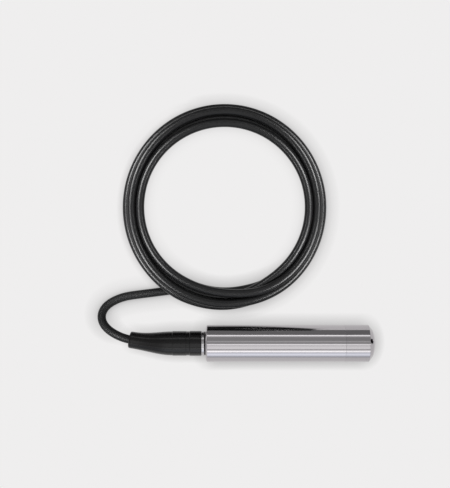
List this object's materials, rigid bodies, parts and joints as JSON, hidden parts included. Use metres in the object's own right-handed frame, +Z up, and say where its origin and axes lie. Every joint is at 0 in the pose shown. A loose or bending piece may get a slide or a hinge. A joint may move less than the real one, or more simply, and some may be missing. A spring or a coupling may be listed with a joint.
{
  "type": "hydrostatic level sensor",
  "caption": "Submersible pressure probe: steel tube body, domed nose cap with inlet holes, rubber bend relief, and a vented signal cable lying coiled beside it.",
  "frame": {"origin": "Under the middle of the probe, from the rear end of the gland's spigot to the tip of the nose, on the surface that the probe lies on. The cable and the bend relief are left out.", "axes": "+X runs along the probe towards its nose, +Y points to the side where the cable is coiled, and +Z is up."},
  "size_m": [0.2034, 0.1866, 0.027],
  "materials": {
    "barrel_steel": "stainless steel, brushed lengthwise",
    "cap_steel": "stainless steel, fine satin",
    "gland_steel": "stainless steel, turned",
    "carrier_steel": "stainless steel, turned",
    "capsule_steel": "stainless steel, ground",
    "diaphragm_foil": "thin stainless foil, bright",
    "seal_rubber": "black, matt",
    "boot_rubber": "moulded, brown-black, satin",
    "cable_jacket": "polyurethane jacket, charcoal, satin",
    "shrink_tube": "shrunk tube, black",
    "silicon": "polished silicon",
    "gold_pin": "gold-plated",
    "board_laminate": "green solder mask",
    "chip_plastic": "black moulding compound",
    "arrester_ceramic": "glazed ceramic with tinned ends",
    "capacitor_can": "drawn can",
    "terminal_plastic": "green moulding",
    "terminal_brass": "tinned brass",
    "sleeve_plastic": "natural extrusion",
    "wire_red": "red insulation",
    "wire_screen": "grey sleeve over the drain wire",
    "capillary_plastic": "natural, translucent",
    "filter_plastic": "porous, white",
    "ferrule_tin": "tinned tube with a plastic collar"
  },
  "bodies": {
    "root": {"housing": "barrel_steel", "nose_cap": "cap_steel", "sensor_carrier": "carrier_steel", "carrier_o_ring": "seal_rubber", "sensor_capsule": "capsule_steel", "capsule_o_ring": "seal_rubber", "isolating_diaphragm": "diaphragm_foil", "weld_ring": "capsule_steel", "sensing_chip": "silicon", "header_pins": "gold_pin", "reference_tube": "capsule_steel", "retaining_ring": "carrier_steel", "header_board": "board_laminate", "amplifier_board": "board_laminate", "board_chips": "chip_plastic", "surge_arresters": "arrester_ceramic", "board_capacitors": "capacitor_can", "terminal_block": "terminal_plastic", "terminal_screws": "terminal_brass", "insulating_sleeve": "sleeve_plastic", "gland_screw": "gland_steel", "gland_o_ring": "seal_rubber", "thrust_washer": "gland_steel", "cable_seal": "seal_rubber", "crimp_sleeve": "gland_steel", "inner_conductors": "wire_red", "inner_drain_wire": "wire_screen", "vent_capillary": "capillary_plastic", "capillary_filter": "filter_plastic", "bend_relief": "boot_rubber", "cable_lead": "cable_jacket", "cable_coil": "cable_jacket", "shrink_sleeve": "shrink_tube", "end_conductors": "wire_red", "end_drain_wire": "wire_screen", "end_ferrules": "ferrule_tin", "end_capillary": "capillary_plastic", "end_filter": "filter_plastic"}
  },
  "joints": []
}
